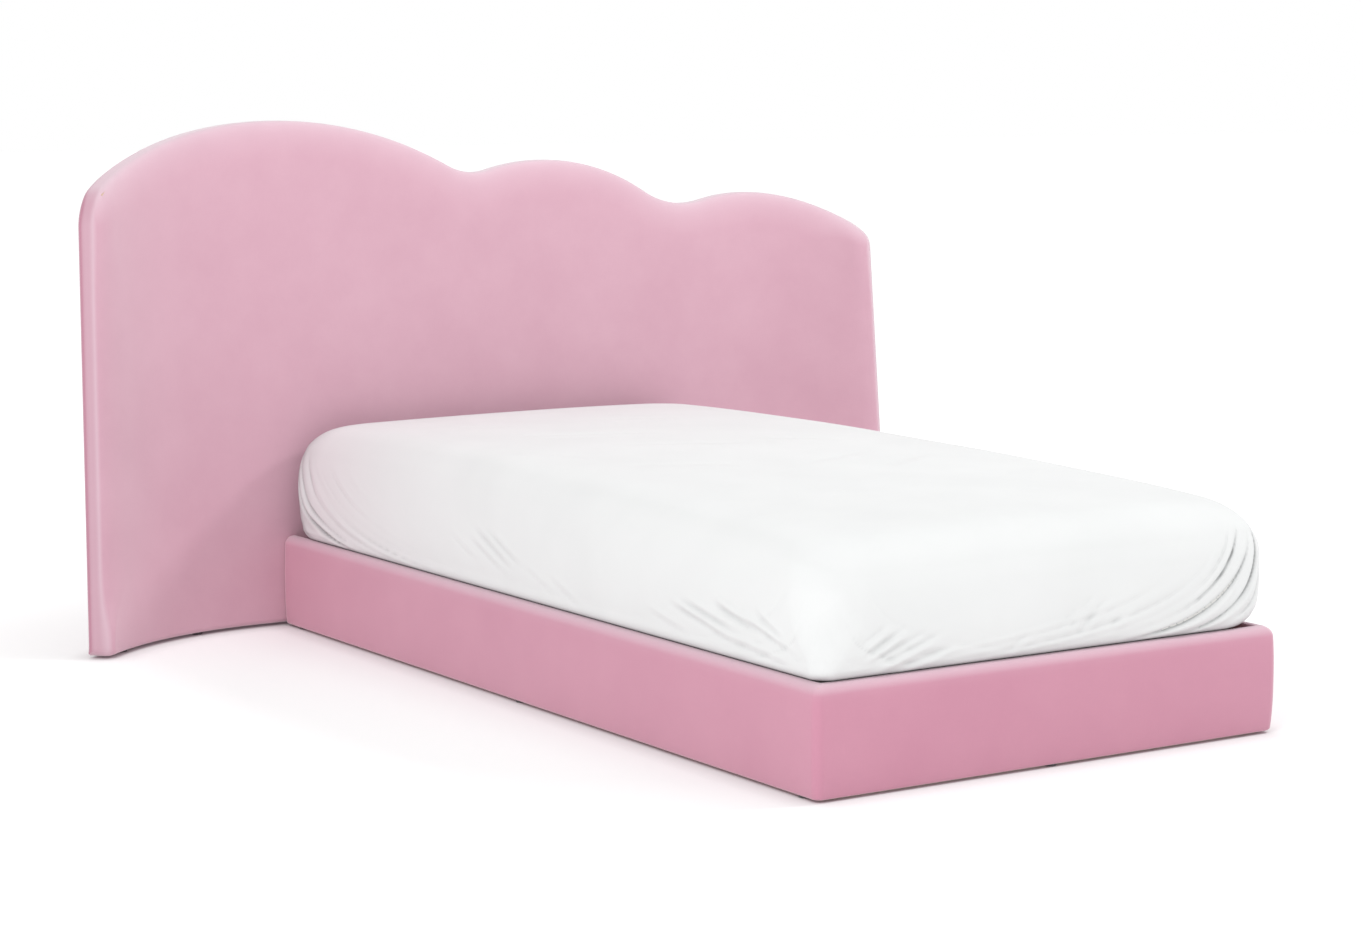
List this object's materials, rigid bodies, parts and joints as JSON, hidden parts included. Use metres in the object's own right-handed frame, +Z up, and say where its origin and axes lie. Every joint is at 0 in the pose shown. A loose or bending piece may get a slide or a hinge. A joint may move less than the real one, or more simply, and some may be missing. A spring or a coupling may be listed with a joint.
{
  "type": "upholstered bed",
  "caption": "Low single bed with velvet rails, a slatted base, a mattress in a fitted sheet, and a tall cloud-shaped headboard whose wings curve forward.",
  "frame": {"origin": "on the floor, under the middle of the whole bed's bounding box", "axes": "+X to the right seen from the foot of the bed, +Y from the foot towards the headboard and the wall, +Z up"},
  "size_m": [2.1012, 2.116, 1.1309],
  "materials": {
    "velvet": "short-pile pink velvet",
    "lining": "plain-weave lining",
    "cotton": "white cotton percale",
    "ticking": "quilted knit ticking",
    "plywood": "sanded birch plywood",
    "pine": "planed pine",
    "foam": "open-cell upholstery foam",
    "steel": "zinc-plated",
    "glide": "moulded black",
    "tape": "woven polyester tape",
    "elastic": "braided elastic"
  },
  "bodies": {
    "bed": {"headboard_face_panel": "plywood", "headboard_back_panel": "plywood", "headboard_lower_rib": "pine", "headboard_middle_rib": "pine", "headboard_upper_rib": "pine", "headboard_edge_strip": "pine", "headboard_studs": "pine", "headboard_foam": "foam", "headboard_cover": "velvet", "headboard_back_cloth": "lining", "headboard_glides": "glide", "threaded_inserts": "steel", "headboard_bolts": "steel", "headboard_washers": "steel", "left_rail_board": "plywood", "right_rail_board": "plywood", "foot_rail_board": "plywood", "head_rail_board": "plywood", "left_rail_foam": "foam", "right_rail_foam": "foam", "foot_rail_foam": "foam", "left_rail_cover": "velvet", "right_rail_cover": "velvet", "foot_rail_cover": "velvet", "corner_blocks": "pine", "corner_bolts": "steel", "left_slat_ledge": "pine", "right_slat_ledge": "pine", "ledge_screws": "steel", "slats": "pine", "slat_tapes": "tape", "slat_screws": "steel", "base_glides": "glide"},
    "mattress": {"mattress_core": "foam", "mattress_top_foam": "foam", "mattress_ticking": "ticking", "fitted_sheet": "cotton", "sheet_elastic": "elastic"}
  },
  "joints": [
    {"name": "mattress_lift", "type": "slide", "parent": "bed", "child": "mattress", "axis": [0, 0, 1], "range_m": [0, 0.25]}
  ]
}
